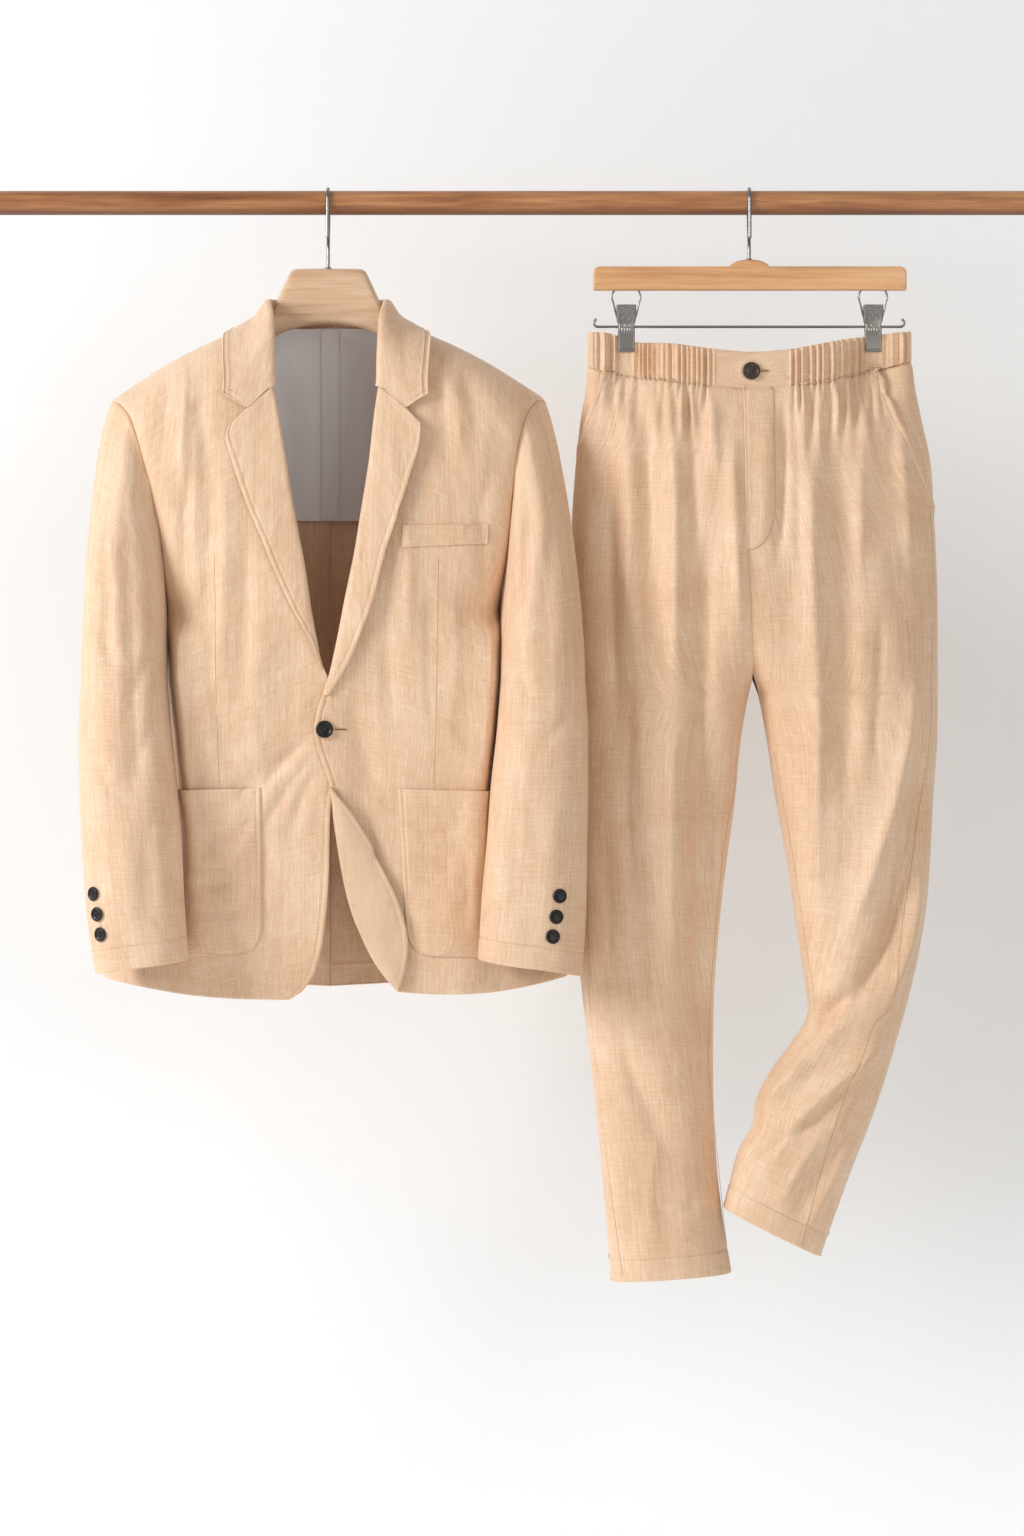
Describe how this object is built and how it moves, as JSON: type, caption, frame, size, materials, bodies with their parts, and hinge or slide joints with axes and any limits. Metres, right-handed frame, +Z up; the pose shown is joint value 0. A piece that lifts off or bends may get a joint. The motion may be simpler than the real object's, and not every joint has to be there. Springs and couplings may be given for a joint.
{
  "type": "two-piece suit on hangers and a hanging rod",
  "caption": "Tan linen blazer on a contoured wooden hanger and matching elastic-waist trousers on a clip hanger, both hooked on a wooden rod.",
  "frame": {"origin": "middle of the hanging rod's axis, where the rod holds both hangers", "axes": "+X along the rod towards the trousers, -Y to the garments' front, +Z up"},
  "size_m": [1.1, 0.2054, 1.1473],
  "materials": {
    "rod_wood": "red-brown satin lacquered wood with grain along the rod",
    "hanger_wood": "light tan satin wood",
    "bar_wood": "orange-tan satin wood",
    "hook_steel": "bright plated steel wire",
    "clip_steel": "pressed plated steel",
    "button_horn": "near-black horn-look, polished",
    "back_neck_lining": "smooth light grey lining cloth",
    "linen_inside": "tan linen, inner side of the front edge",
    "trouser_linen": "tan plain-weave linen, matt, slubbed",
    "blazer_linen": "tan plain-weave linen, matt, slubbed"
  },
  "bodies": {
    "root": {"chest_welt": "blazer_linen", "clip_left_back": "clip_steel", "clip_left_front": "clip_steel", "clip_left_loop": "clip_steel", "clip_left_roll": "clip_steel", "clip_right_back": "clip_steel", "clip_right_front": "clip_steel", "clip_right_loop": "clip_steel", "clip_right_roll": "clip_steel", "clip_rod": "clip_steel", "collar": "blazer_linen", "cuff_button_left_1": "button_horn", "cuff_button_left_2": "button_horn", "cuff_button_left_3": "button_horn", "cuff_button_right_1": "button_horn", "cuff_button_right_2": "button_horn", "cuff_button_right_3": "button_horn", "fly": "trouser_linen", "front_button": "button_horn", "hanging_rod": "rod_wood", "hip_piece_left": "trouser_linen", "hip_piece_right": "trouser_linen", "jacket_back_left": "blazer_linen", "jacket_back_right": "blazer_linen", "jacket_front_left": "blazer_linen", "jacket_front_right": "blazer_linen", "jacket_hanger": "hanger_wood", "jacket_hook": "hook_steel", "lapel_left": "blazer_linen", "lapel_right": "blazer_linen", "nape_lining": "back_neck_lining", "nape_tape": "back_neck_lining", "pocket_left": "blazer_linen", "pocket_right": "blazer_linen", "sleeve_under_left": "blazer_linen", "sleeve_under_right": "blazer_linen", "sleeve_upper_left": "blazer_linen", "sleeve_upper_right": "blazer_linen", "trouser_back_left": "trouser_linen", "trouser_back_right": "trouser_linen", "trouser_front_left": "trouser_linen", "trouser_front_right": "trouser_linen", "trouser_hanger_bar": "bar_wood", "trouser_hook": "hook_steel", "trouser_shin_back_left": "trouser_linen", "trouser_shin_front_left": "trouser_linen", "trouser_thigh_back_left": "trouser_linen", "trouser_thigh_front_left": "trouser_linen", "turned_back_edge": "linen_inside", "waist_button": "button_horn", "waistband_back": "trouser_linen", "waistband_front": "trouser_linen"}
  },
  "joints": []
}
